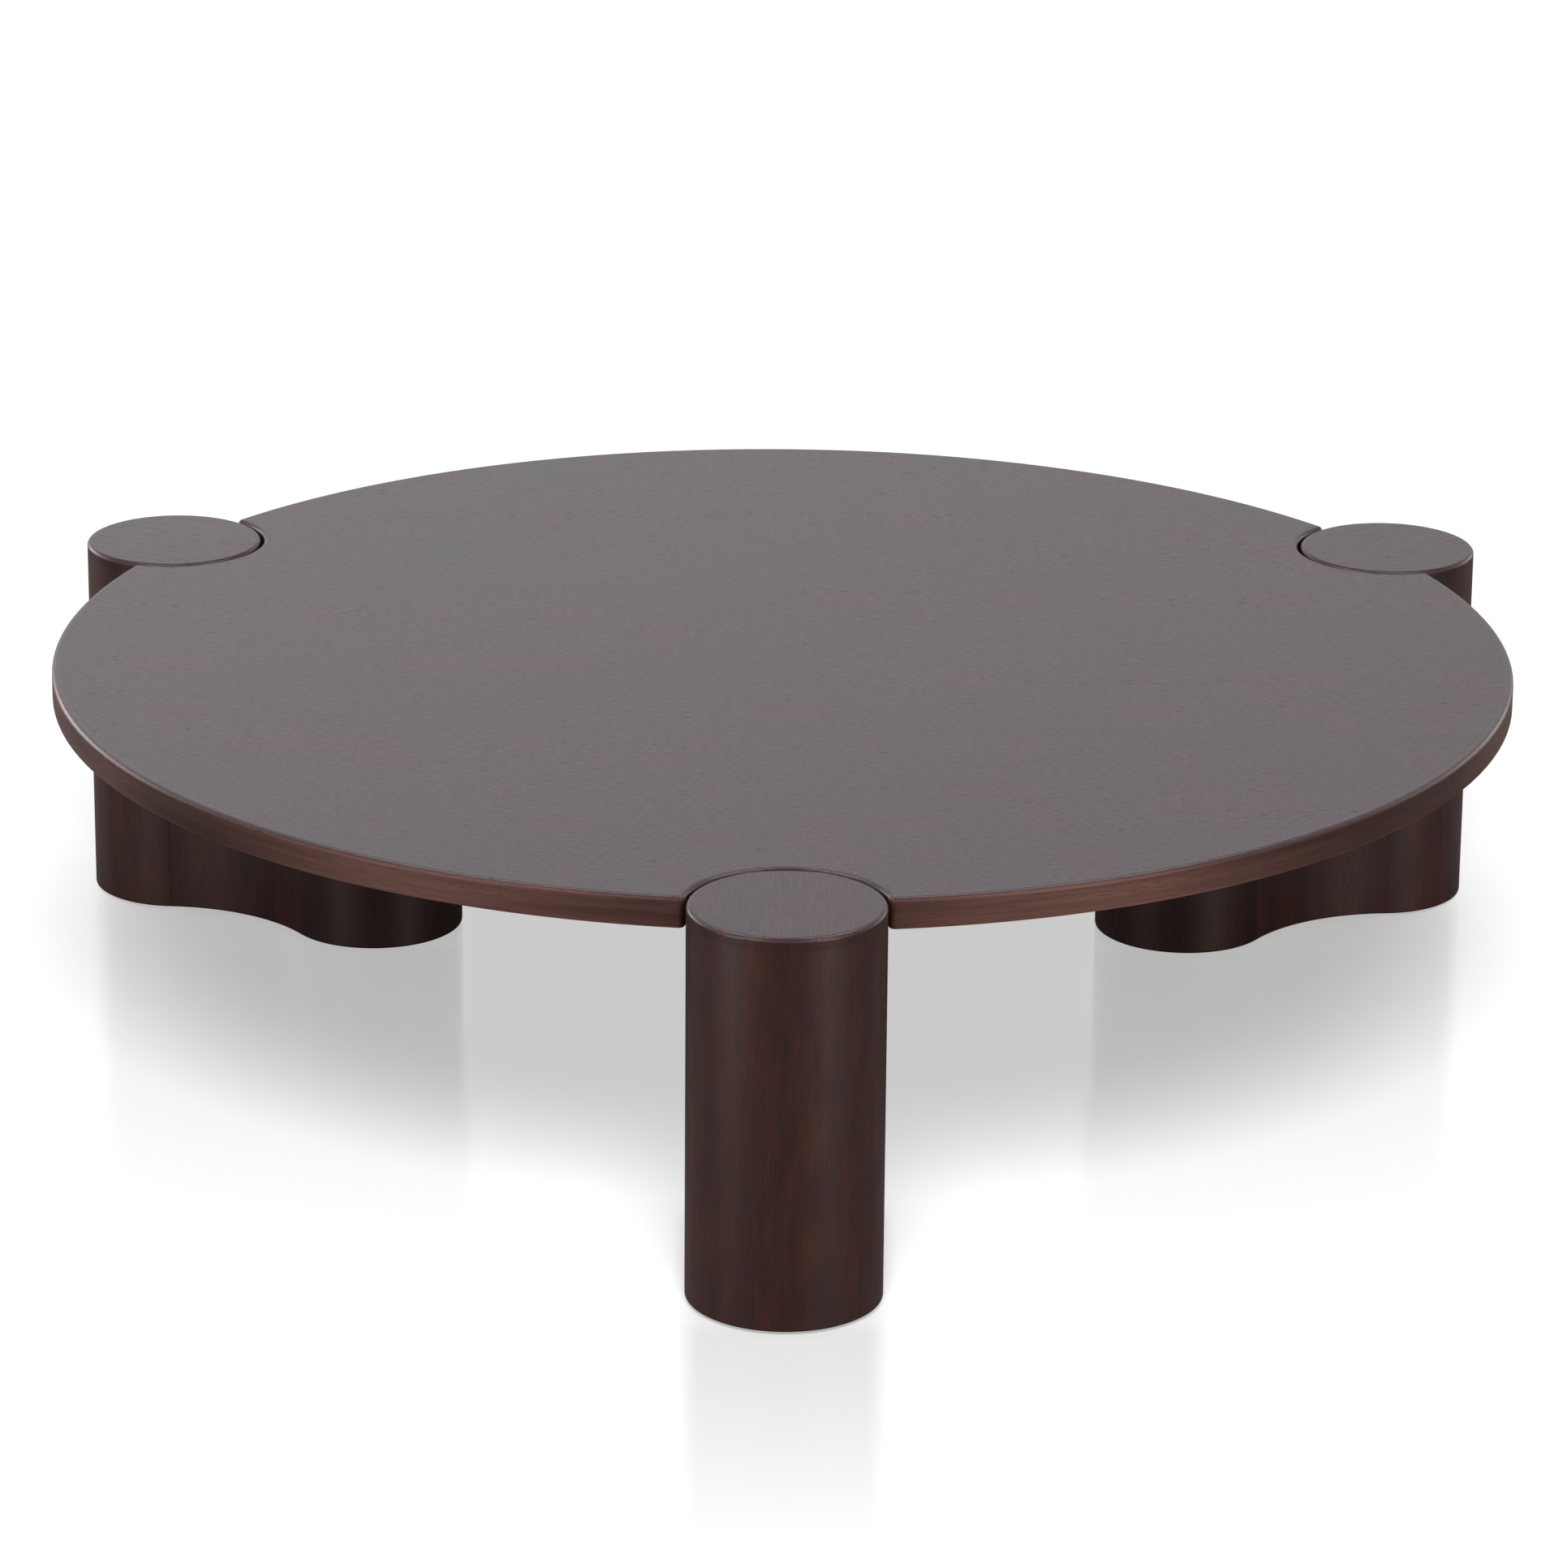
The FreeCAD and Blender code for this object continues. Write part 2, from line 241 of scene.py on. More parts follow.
def makeSoftbox(name, box, floor):
    data = bpy.data.lights.new(name, "AREA")
    data.shape = "RECTANGLE"
    data.size, data.size_y = box["size"]
    data.energy = box["power"]
    lamp = bpy.data.objects.new(name, data)
    bpy.context.scene.collection.objects.link(lamp)
    place = Vector(box["place"])
    aim = (Vector(box["aim"]) - place).to_track_quat("-Z", "Y")
    lamp.matrix_world = Matrix.Translation(place) @ aim.to_matrix().to_4x4()
    lamp.visible_camera = False
    lightOnly(lamp, floor, "EXCLUDE")


def makeShadowLight(look, floor):
    # wide and soft, from the front and above
    data = bpy.data.lights.new("shadowLight", "SUN")
    data.energy = look["strength"]
    data.angle = look["spread"]
    lamp = bpy.data.objects.new("shadowLight", data)
    bpy.context.scene.collection.objects.link(lamp)
    lamp.rotation_euler = (math.pi / 2 - look["elevation"], 0, 0)
    lamp.visible_glossy = False
    lightOnly(lamp, floor, "INCLUDE")


def feetSheen(tree, look):
    # a strip before each leg, as wide as the leg, that fades towards the front
    floorPlace = objectPlace(tree)
    spot = split(tree, floorPlace)
    meetX, meetY = look["sheenMeet"]
    most = 0.0
    for leg, turn in legTurns.items():
        out = Vector((math.cos(turn), math.sin(turn), 0))
        post = out * table["postPlace"]
        lobe = out * table["lobePlace"]
        feet = [(post, table["postRadius"]), (lobe, table["lobeRadius"])]
        shown = 0.0
        for foot, radius in feet:
            gap = put(tree, "ShaderNodeVectorMath", {0: floorPlace, 1: foot}, operation="DISTANCE")
            near = eased(tree, gap.outputs["Value"], radius + look["sheenReach"][leg], radius)
            before = eased(tree, spot[1], foot.y, foot.y - radius)
            shown = calc(tree, "MAXIMUM", calc(tree, "MULTIPLY", near, before), shown)
        left = min(foot.x - radius for foot, radius in feet)
        right = max(foot.x + radius for foot, radius in feet)
        half = (right - left) / 2
        # the strip narrows or widens so that its sides run towards the meeting place
        spread = calc(tree, "DIVIDE", post.y - meetY, calc(tree, "SUBTRACT", spot[1], meetY))
        sideways = calc(tree, "MULTIPLY", calc(tree, "SUBTRACT", spot[0], meetX), spread)
        across = calc(tree, "ADD", sideways, meetX)
        aside = calc(tree, "ABSOLUTE", calc(tree, "SUBTRACT", across, (left + right) / 2))
        within = eased(tree, aside, half + look["sheenEdge"] / 2, half - look["sheenEdge"] / 2)
        strip = calc(tree, "MULTIPLY", calc(tree, "MULTIPLY", shown, within), look["sheen"][leg])
        most = calc(tree, "MAXIMUM", strip, most)
    return most


def makeFloor(look):
    half = look["floorSize"] / 2
    mesh = bpy.data.meshes.new("floor")
    corners = [(-half, -half, 0), (half, -half, 0), (half, half, 0), (-half, half, 0)]
    mesh.from_pydata(corners, [], [(0, 1, 2, 3)])
    floor = bpy.data.objects.new("floor", mesh)
    bpy.context.scene.collection.objects.link(floor)
    material = bpy.data.materials.new("paleFloor")
    material.use_nodes = True
    tree = material.node_tree
    tree.nodes.clear()
    seen = put(tree, "ShaderNodeLightPath").outputs["Is Camera Ray"]
    white = ranged(tree, seen, 0, 1, look["floorOther"], look["floorShown"])
    matt = put(tree, "ShaderNodeBsdfDiffuse", {"Color": white})
    lift = put(tree, "ShaderNodeEmission", {"Strength": calc(tree, "MULTIPLY", seen, look["lift"])})
    both = put(tree, "ShaderNodeAddShader", {0: matt.outputs[0], 1: lift.outputs[0]})
    gloss = put(tree, "ShaderNodeBsdfGlossy", {"Roughness": look["sheenRoughness"]})
    aslant = put(tree, "ShaderNodeLayerWeight").outputs["Facing"]
    grazing = ranged(tree, aslant, *look["sheenGrazing"])
    share = calc(tree, "MULTIPLY", calc(tree, "MULTIPLY", seen, grazing), feetSheen(tree, look))
    mixed = put(tree, "ShaderNodeMixShader", {0: share, 1: both.outputs[0], 2: gloss.outputs[0]})
    put(tree, "ShaderNodeOutputMaterial", {"Surface": mixed.outputs[0]})
    mesh.materials.append(material)
    return floor


makeRoom(studio)
floor = makeFloor(studio)
for boxName, box in studio["boxes"].items():
    makeSoftbox(boxName, box, floor)
makeShadowLight(studio["shadowLight"], floor)
bpy.context.scene.view_settings.view_transform = "Standard"
print("room, softboxes and floor made")


# Shared effect: wood grain along X of its vector, in metres
grainRule = {
    "middle": 0.5,             # the even value of a noise
    "driftDetail": 2.0,
    "bandDetail": 3.0,
    "fibreDetail": 2.0,
    "poreDetail": 0.0,
    "mottleDetail": 3.0,
    "crowding": 0.35,          # how far an open band draws pores
    "poreLimit": 0.85,         # a share of nought leaves no pores
    "poreEdge": 0.06,
    "bandRange": (0.3, 0.7),   # what part of the noise goes from nought to one
    "fibreRange": (0.25, 0.75),
    "mottleRange": (0.35, 0.65),
}


def woodGrainGroup():
    tree, given, result = newGroup("woodGrain", "ShaderNodeTree", {
        "Vector": ("NodeSocketVector", None),
        "Wander": ("NodeSocketFloat", 0.01),
        "Band Length": ("NodeSocketFloat", 0.6),
        "Band Width": ("NodeSocketFloat", 0.03),
        "Fibre Length": ("NodeSocketFloat", 0.08),
        "Fibre Width": ("NodeSocketFloat", 0.0015),
        "Pore Length": ("NodeSocketFloat", 0.012),
        "Pore Width": ("NodeSocketFloat", 0.0006),
        "Pore Share": ("NodeSocketFloat", 0.1),
        "Mottle Length": ("NodeSocketFloat", 0.12),
        "Mottle Width": ("NodeSocketFloat", 0.05),
    }, {"Band": "NodeSocketFloat", "Fibre": "NodeSocketFloat", "Pores": "NodeSocketFloat",
        "Mottle": "NodeSocketFloat"})

    def noise(vector, length, width, detail):
        apart = split(tree, vector)
        stretched = joined(tree, calc(tree, "DIVIDE", apart[0], length),
                           calc(tree, "DIVIDE", apart[1], width), calc(tree, "DIVIDE", apart[2], width))
        return put(tree, "ShaderNodeTexNoise", {
            "Vector": stretched, "Scale": 1.0, "Detail": detail}).outputs[0]

    rule = grainRule
    place = given["Vector"]
    # the grain lines drift sideways as they run
    drift = noise(place, given["Band Length"], given["Band Length"], rule["driftDetail"])
    shift = calc(tree, "MULTIPLY", calc(tree, "SUBTRACT", drift, rule["middle"]), given["Wander"])
    lines = moved(tree, place, joined(tree, y=shift))
    band = noise(lines, given["Band Length"], given["Band Width"], rule["bandDetail"])
    fibre = noise(lines, given["Fibre Length"], given["Fibre Width"], rule["fibreDetail"])
    pores = noise(lines, given["Pore Length"], given["Pore Width"], rule["poreDetail"])
    mottle = noise(place, given["Mottle Length"], given["Mottle Width"], rule["mottleDetail"])
    # pores gather where the band is open
    pull = calc(tree, "MULTIPLY", calc(tree, "SUBTRACT", band, rule["middle"]), rule["crowding"])
    crowd = calc(tree, "ADD", pores, pull)
    start = calc(tree, "SUBTRACT", rule["poreLimit"], given["Pore Share"])
    openPores = eased(tree, crowd, start, calc(tree, "ADD", start, rule["poreEdge"]))
    tree.links.new(ranged(tree, band, *rule["bandRange"]), result["Band"])
    tree.links.new(ranged(tree, fibre, *rule["fibreRange"]), result["Fibre"])
    tree.links.new(openPores, result["Pores"])
    tree.links.new(ranged(tree, mottle, *rule["mottleRange"]), result["Mottle"])
    return tree


# Shared effect: the stain on that grain, as a colour, a roughness and a height
stainRule = {
    "middle": 0.5,
    "poreRoughness": 0.15,     # added in the pores
    "poreDepth": 0.5,          # how far a pore goes down
    "fibreRise": 0.35,         # and how far a fibre comes up, in the relief's own measure
}


def stainGroup():
    tree, given, result = newGroup("woodStain", "ShaderNodeTree", {
        "Band": ("NodeSocketFloat", 0.5),
        "Fibre": ("NodeSocketFloat", 0.5),
        "Pores": ("NodeSocketFloat", 0.0),
        "Mottle": ("NodeSocketFloat", 0.0),
        "Dark": ("NodeSocketColor", None),
        "Light": ("NodeSocketColor", None),
        "Cool": ("NodeSocketColor", None),
        "Cool Share": ("NodeSocketFloat", 0.0),
        "Pore Tint": ("NodeSocketColor", None),
        "Fibre Depth": ("NodeSocketFloat", 0.2),
        "Roughness": ("NodeSocketFloat", 0.4),
    }, {"Color": "NodeSocketColor", "Roughness": "NodeSocketFloat", "Height": "NodeSocketFloat"})
    rule = stainRule
    tone = mixedColour(tree, given["Band"], given["Dark"], given["Light"])
    coolness = calc(tree, "MULTIPLY", given["Mottle"], given["Cool Share"])
    mottled = mixedColour(tree, coolness, tone, given["Cool"])
    sway = calc(tree, "SUBTRACT", given["Fibre"], rule["middle"])
    shade = calc(tree, "ADD", calc(tree, "MULTIPLY", sway, given["Fibre Depth"]), 1.0)
    streaks = scaled(tree, mottled, shade)
    colour = mixedColour(tree, given["Pores"], streaks, given["Pore Tint"])
    blunt = calc(tree, "MULTIPLY", given["Pores"], rule["poreRoughness"])
    rough = calc(tree, "ADD", given["Roughness"], blunt)
    deep = calc(tree, "MULTIPLY", given["Pores"], rule["poreDepth"])
    height = calc(tree, "SUBTRACT", calc(tree, "MULTIPLY", given["Fibre"], rule["fibreRise"]), deep)
    tree.links.new(colour, result["Color"])
    tree.links.new(rough, result["Roughness"])
    tree.links.new(height, result["Height"])
    return tree


woodGrain = woodGrainGroup()
woodStain = stainGroup()


def grainOf(tree, vector, look):
    grain = put(tree, "ShaderNodeGroup", node_tree=woodGrain)
    tree.links.new(vector, grain.inputs["Vector"])
    for label, value in look["grain"].items():
        grain.inputs[label].default_value = value
    stain = put(tree, "ShaderNodeGroup", node_tree=woodStain)
    for label in ("Band", "Fibre", "Pores", "Mottle"):
        tree.links.new(grain.outputs[label], stain.inputs[label])
    for label, value in look["stain"].items():
        stain.inputs[label].default_value = (*value, 1) if isinstance(value, tuple) else value
    return stain.outputs


def toned(tree, stain, tone):
    # the same stain, its colour lighter or darker
    colour = scaled(tree, stain["Color"], tone)
    return {"Color": colour, "Roughness": stain["Roughness"], "Height": stain["Height"]}


def blended(tree, mask, low, high):
    # the three outputs of two stains, mixed by a mask
    colour = mixedColour(tree, mask, low["Color"], high["Color"])
    rough = mixedValue(tree, mask, low["Roughness"], high["Roughness"])
    height = mixedValue(tree, mask, low["Height"], high["Height"])
    return {"Color": colour, "Roughness": rough, "Height": height}


# The lacquer over the stain: glossTint colours what the gloss throws back, and coatMost is how
# much of a last coat lies on the crests of the grain
lacquers = {
    "face": {"ior": 1.35, "glossTint": (1.0, 1.0, 1.0), "reliefStrength": 1.0, "reliefDepth": 0.0002,
             "coatMost": 0.15},
    "edge": {"ior": 1.43, "glossTint": (1.0, 0.55, 0.50), "reliefStrength": 0.8, "reliefDepth": 0.0002,
             "coatMost": 0.0},
    "leg": {"ior": 1.45, "glossTint": (1.0, 0.84, 0.81), "reliefStrength": 0.8, "reliefDepth": 0.0002,
            "coatMost": 0.0},
}
coatRoughness = 0.28


def lacquered(material, stain, kind):
    tree = material.node_tree
    lacquer = lacquers[kind]
    bump = put(tree, "ShaderNodeBump", {
        "Height": stain["Height"], "Strength": lacquer["reliefStrength"],
        "Distance": lacquer["reliefDepth"]})
    skin = put(tree, "ShaderNodeBsdfPrincipled", {
        "Base Color": stain["Color"], "Roughness": stain["Roughness"], "Normal": bump.outputs[0],
        "IOR": lacquer["ior"], "Specular Tint": (*lacquer["glossTint"], 1)})
    if lacquer["coatMost"]:
        coat = ranged(tree, stain["Height"], 0, stainRule["fibreRise"], 0, lacquer["coatMost"])
        tree.links.new(coat, skin.inputs["Coat Weight"])
        skin.inputs["Coat Roughness"].default_value = coatRoughness
    put(tree, "ShaderNodeOutputMaterial", {"Surface": skin.outputs[0]})


def newMaterial(name):
    material = bpy.data.materials.new(name)
    material.use_nodes = True
    material.node_tree.nodes.clear()
    return material, material.node_tree


def dress(node, material):
    for slot in nodes[node].material_slots:
        slot.material = material


def legPlace(tree, turn):
    # the leg's own axes: X runs outwards along the leg from the middle of its post
    out = Vector((math.cos(turn), math.sin(turn), 0)) * table["postPlace"]
    return put(tree, "ShaderNodeMapping", {
        "Vector": objectPlace(tree), "Location": out, "Rotation": (0, 0, turn)},
        vector_type="TEXTURE").outputs[0]


# Top face: veneer with the grain from left to right
topFace = {
    "grain": {"Wander": 0.05, "Band Length": 0.9, "Band Width": 0.045, "Fibre Length": 0.006,
              "Fibre Width": 0.0030, "Pore Length": 0.012, "Pore Width": 0.0010, "Pore Share": 0.10,
              "Mottle Length": 0.06, "Mottle Width": 0.06},
    "stain": {"Dark": (0.029, 0.0140, 0.0185), "Light": (0.040, 0.0165, 0.0220),
              "Cool": (0.018, 0.0195, 0.0250), "Cool Share": 0.5,
              "Pore Tint": (0.014, 0.007, 0.009), "Fibre Depth": 0.45, "Roughness": 0.28},
}


def topFaceMaterial():
    material, tree = newMaterial("topVeneer")
    lacquered(material, grainOf(tree, objectPlace(tree), topFace), "face")
    return material


# Edge lippings: solid strips whose grain follows the edge, redder on the side than on top
lipping = {
    "grain": {"Wander": 0.006, "Band Length": 0.16, "Band Width": 0.007, "Fibre Length": 0.05,
              "Fibre Width": 0.0009, "Pore Length": 0.010, "Pore Width": 0.0005, "Pore Share": 0.11},
    "stain": {"Dark": (0.024, 0.0120, 0.0090), "Light": (0.046, 0.0210, 0.0170),
              "Pore Tint": (0.012, 0.006, 0.005), "Fibre Depth": 0.3, "Roughness": 0.42},
    "toneLength": 0.38,        # how slowly the wood's tone drifts along the strip
    "toneStart": 258.0,
    "toneFrom": (0.25, 0.78),
    "toneTo": (0.80, 2.72),
    # the lipping's flat face, with what its red gloss takes away given back
    "faceStain": {"Dark": (0.029, 0.0220, 0.0265), "Light": (0.040, 0.0245, 0.0300),
                  "Cool": (0.018, 0.0275, 0.0330)},
    "highlightTop": 0.0022,          # above the underside, where the painted highlight on the lower edge starts
    "highlightFull": 0.0008,         # and where that painted highlight is brightest
    "highlightTone": 2.2,
    "notchShade": 0.6,          # the strips in the notches are darkened: painted shade in the gap round the post
    "sideEnd": 0.0025,         # below the face, where the side's colour ends
    "faceStart": 0.0008,
}


def toneDrift(tree, run, look):
    place = calc(tree, "ADD", calc(tree, "DIVIDE", run, look["toneLength"]), look["toneStart"])
    slow = put(tree, "ShaderNodeTexNoise", {
        "W": place, "Scale": 1.0, "Detail": 1.0}, noise_dimensions="1D").outputs[0]
    return ranged(tree, slow, *look["toneFrom"], *look["toneTo"])


def lippingMaterial(name, place, radius, outward, kind):
    # place gives axes from the middle of the arc; outward picks the pair whose angle runs along
    # the strip without a break
    material, tree = newMaterial(name)
    apart = split(tree, place(tree))
    angle = calc(tree, "ARCTAN2", *outward(tree, apart))
    flat = joined(tree, apart[0], apart[1])
    reach = put(tree, "ShaderNodeVectorMath", {0: flat}, operation="LENGTH").outputs["Value"]
    run = calc(tree, "MULTIPLY", angle, radius)
    across = calc(tree, "SUBTRACT", apart[2], reach)
    grain = grainOf(tree, joined(tree, run, across, reach), lipping)
    if kind == "edge":
        under = table["topUnderside"]
        # the rim's lower edge is lightened in a band: a painted highlight
        paintedHighlight = ranged(tree, apart[2], under + lipping["highlightTop"], under + lipping["highlightFull"],
                        1.0, lipping["highlightTone"])
        side = toned(tree, grain, calc(tree, "MULTIPLY", toneDrift(tree, run, lipping), paintedHighlight))
        faceLook = {"grain": topFace["grain"], "stain": {**topFace["stain"], **lipping["faceStain"]}}
    else:
        # the notch strips are darkened as painted shade in the gap
        side = toned(tree, grain, lipping["notchShade"])
        faceLook = topFace
    face = grainOf(tree, objectPlace(tree), faceLook)
    top = table["topFace"]
    mask = eased(tree, apart[2], top - lipping["sideEnd"], top - lipping["faceStart"])
    lacquered(material, blended(tree, mask, side, face), kind)
    return material


# Leg panels: veneer with the grain upright, each leaf its own cut
legLook = {
    "grain": {"Wander": 0.010, "Band Length": 0.40, "Band Width": 0.022, "Fibre Length": 0.05,
              "Fibre Width": 0.0016, "Pore Length": 0.010, "Pore Width": 0.0006, "Pore Share": 0.11,
              "Mottle Length": 0.045, "Mottle Width": 0.012},
    "stain": {"Dark": (0.020, 0.0080, 0.0070), "Light": (0.048, 0.0120, 0.0075),
              "Cool": (0.0165, 0.0076, 0.0070), "Cool Share": 0.75,
              "Pore Tint": (0.010, 0.005, 0.005), "Fibre Depth": 0.4, "Roughness": 0.42},
    # each panel's stain is scaled: the lobe and neck panels, under the top, are darkened as painted shade,
    # and each leaf takes the stain a little differently too
    "toneAndShade": {"post_panel": 0.99, "lobe_panel": 0.56, "left_neck_cheek": 0.78, "right_neck_cheek": 0.86},
}


def legMaterial():
    material, tree = newMaterial("legVeneer")
    uv = put(tree, "ShaderNodeUVMap", uv_map="UVMap").outputs[0]
    apart = split(tree, uv)
    leaf = put(tree, "ShaderNodeAttribute", attribute_name="leaf").outputs["Fac"]
    # each panel's tone, with the painted shade of the lobe and neck panels under the top
    tone = put(tree, "ShaderNodeAttribute", attribute_name="tone").outputs["Fac"]
    grain = grainOf(tree, joined(tree, apart[1], apart[0], leaf), legLook)
    lacquered(material, toned(tree, grain, tone), "leg")
    return material


# Post caps: a disc with its grain along the leg, over a side that carries on the post's grain
capLook = {
    "grain": {"Wander": 0.012, "Band Length": 0.4, "Band Width": 0.02, "Fibre Length": 0.03,
              "Fibre Width": 0.0018, "Pore Length": 0.012, "Pore Width": 0.0006, "Pore Share": 0.09,
              "Mottle Length": 0.09, "Mottle Width": 0.06},
    "stain": {"Dark": (0.023, 0.0070, 0.0105), "Light": (0.034, 0.0090, 0.0135),
              "Cool": (0.016, 0.0105, 0.0175), "Cool Share": 0.7,
              "Pore Tint": (0.012, 0.006, 0.008), "Fibre Depth": 0.4, "Roughness": 0.26},
    "sideEnd": 0.0030,
    "faceStart": 0.0008,
    "highlightLow": 0.0038,          # below the face, where the painted highlight on the rounded edge starts
    "highlightHigh": 0.0004,
    "highlightTone": 1.7,
}


def paintedHighlightBand(tree, z, low, high, tone):
    # 1 outside a band of heights, up to tone at its middle: a painted highlight
    rise = eased(tree, z, low, (low + high) / 2)
    fall = eased(tree, z, high, (low + high) / 2)
    return ranged(tree, calc(tree, "MULTIPLY", rise, fall), 0, 1, 1.0, tone)


def capMaterial(leg, leaf, jointTurn):
    material, tree = newMaterial(leg + "Cap")
    place = legPlace(tree, legTurns[leg])
    apart = split(tree, place)
    face = grainOf(tree, moved(tree, place, (leaf, leaf, leaf)), capLook)
    angle = calc(tree, "ADD", calc(tree, "ARCTAN2", apart[1], apart[0]), jointTurn)
    run = calc(tree, "MULTIPLY", angle, table["postRadius"])
    grain = grainOf(tree, joined(tree, apart[2], run, leaf), legLook)
    side = toned(tree, grain, legLook["toneAndShade"]["post_panel"])
    top = table["topFace"]
    mask = eased(tree, apart[2], top - capLook["sideEnd"], top - capLook["faceStart"])
    # the cap's rounded edge is lightened in a band: a painted highlight
    paintedHighlight = paintedHighlightBand(tree, apart[2], top - capLook["highlightLow"], top - capLook["highlightHigh"],
                        capLook["highlightTone"])
    lacquered(material, toned(tree, blended(tree, mask, side, face), paintedHighlight), "face")
    return material


# Board, batten, steel and felt: chips, grain, brush marks and fuzz of the given size in metres
plainLooks = {
    "coreBoard": {"pattern": "chips", "stretch": (1, 1, 1), "size": 0.004,
                  "dark": (0.20, 0.13, 0.075), "light": (0.38, 0.27, 0.17),
                  "roughness": 0.8, "metallic": 0.0},
    "battenWood": {"pattern": "noise", "stretch": (1, 1, 0.06), "size": 0.004,
                   "dark": (0.42, 0.28, 0.15), "light": (0.58, 0.42, 0.25),
                   "roughness": 0.6, "metallic": 0.0},
    "zincSteel": {"pattern": "noise", "stretch": (1, 1, 8), "size": 0.002,
                  "dark": (0.55, 0.56, 0.58), "light": (0.72, 0.73, 0.74),
                  "roughness": 0.35, "metallic": 1.0},
    "darkFelt": {"pattern": "noise", "stretch": (1, 1, 1), "size": 0.0007,
                 "dark": (0.012, 0.012, 0.012), "light": (0.045, 0.043, 0.042),
                 "roughness": 0.95, "metallic": 0.0},
}
plainRelief = {"strength": 0.4, "depth": 0.1, "detail": 4.0}    # depth as a share of the size


def plainMaterial(name):
    look = plainLooks[name]
    material, tree = newMaterial(name)
    scale = [part / look["size"] for part in look["stretch"]]
    sized = put(tree, "ShaderNodeMapping", {"Vector": objectPlace(tree), "Scale": scale}).outputs[0]
    if look["pattern"] == "chips":
        value = put(tree, "ShaderNodeTexVoronoi", {"Vector": sized, "Scale": 1.0}).outputs["Color"]
    else:
        value = put(tree, "ShaderNodeTexNoise", {
            "Vector": sized, "Scale": 1.0, "Detail": plainRelief["detail"]}).outputs[0]
    colour = mixedColour(tree, value, (*look["dark"], 1), (*look["light"], 1))
    bump = put(tree, "ShaderNodeBump", {
        "Height": value, "Strength": plainRelief["strength"],
        "Distance": look["size"] * plainRelief["depth"]})
    skin = put(tree, "ShaderNodeBsdfPrincipled", {
        "Base Color": colour, "Roughness": look["roughness"], "Metallic": look["metallic"],
        "Normal": bump.outputs[0]})
    put(tree, "ShaderNodeOutputMaterial", {"Surface": skin.outputs[0]})
    return material


# The neck's hollow touches the post's round and the lobe's round; the panels meet there
def neckGeometry():
    spacing = table["postPlace"] - table["lobePlace"]
    postReach = table["postRadius"] + table["neckRadius"]
    lobeReach = table["lobeRadius"] + table["neckRadius"]
    run = (postReach ** 2 - lobeReach ** 2 + spacing ** 2) / (2 * spacing)
    offset = math.sqrt(postReach ** 2 - run ** 2)
    return {
        "place": table["postPlace"] - run,
        "offset": offset,
        "postJoint": math.atan2(offset, -run),
        "lobeJoint": math.atan2(offset, spacing - run),
    }


neck = neckGeometry()
legPanel = {
    "thickness": 0.010,
    "footRound": 0.0015,
    "footSteps": 4,
    "jointEase": 0.00025,      # the eased edges that show each upright joint as a fine line
    "jointSteps": 2,
    "stepAngle": math.radians(2.5),
    "fewestSteps": 8,
    "squareAngle": 0.9,        # edges that turn by more than this stay crisp
    "normalWeight": 50,
    "leafStep": 0.37,          # how far apart in the veneer two panels are cut
}


